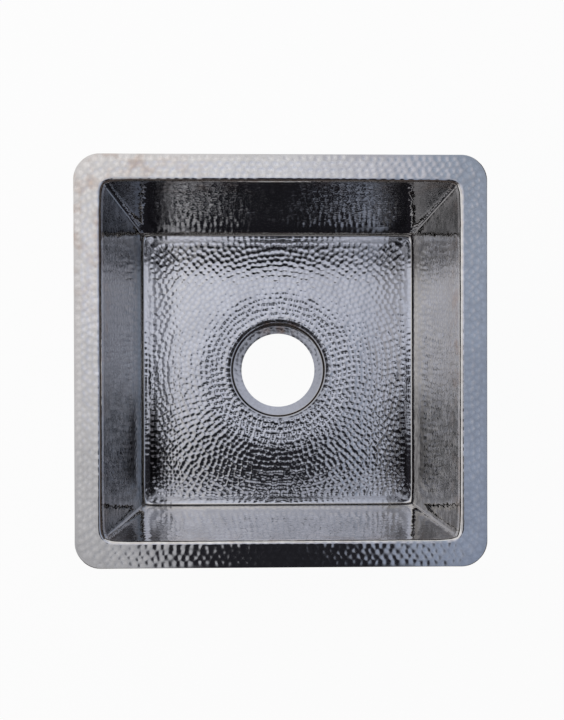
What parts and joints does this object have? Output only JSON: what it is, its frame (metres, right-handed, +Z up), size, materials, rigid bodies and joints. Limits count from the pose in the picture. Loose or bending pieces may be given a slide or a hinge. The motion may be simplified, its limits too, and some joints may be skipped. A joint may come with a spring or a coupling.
{
  "type": "prep sink",
  "caption": "Square prep sink in hammered nickel-plated copper sheet, with a flat flange, rounded corners and a stepped strainer seat in the middle of the floor.",
  "frame": {"origin": "on the drain's axis, in the plane of the strainer seat's underside, which is the sink's lowest face", "axes": "+Z up out of the bowl along the drain's axis, +Y towards the back, +X towards the right"},
  "size_m": [0.381, 0.381, 0.188],
  "materials": {
    "hammered_sheet": "hand-hammered copper sheet, bright nickel plate with a thin warm tarnish",
    "weld_bead": "planished fusion weld under the same nickel plate, a little duller"
  },
  "bodies": {
    "root": {"floor_pan": "hammered_sheet", "drain_seat": "hammered_sheet", "wall_back": "hammered_sheet", "wall_front": "hammered_sheet", "wall_left": "hammered_sheet", "wall_right": "hammered_sheet", "rim_back": "hammered_sheet", "rim_front": "hammered_sheet", "rim_left": "hammered_sheet", "rim_right": "hammered_sheet", "drain_weld": "weld_bead", "corner_weld_back_left": "weld_bead", "corner_weld_back_right": "weld_bead", "corner_weld_front_left": "weld_bead", "corner_weld_front_right": "weld_bead", "floor_weld_back": "weld_bead", "floor_weld_front": "weld_bead", "floor_weld_left": "weld_bead", "floor_weld_right": "weld_bead", "rim_weld_back": "weld_bead", "rim_weld_front": "weld_bead", "rim_weld_left": "weld_bead", "rim_weld_right": "weld_bead", "rim_miter_weld_back_left": "weld_bead", "rim_miter_weld_back_right": "weld_bead", "rim_miter_weld_front_left": "weld_bead", "rim_miter_weld_front_right": "weld_bead"}
  },
  "joints": []
}
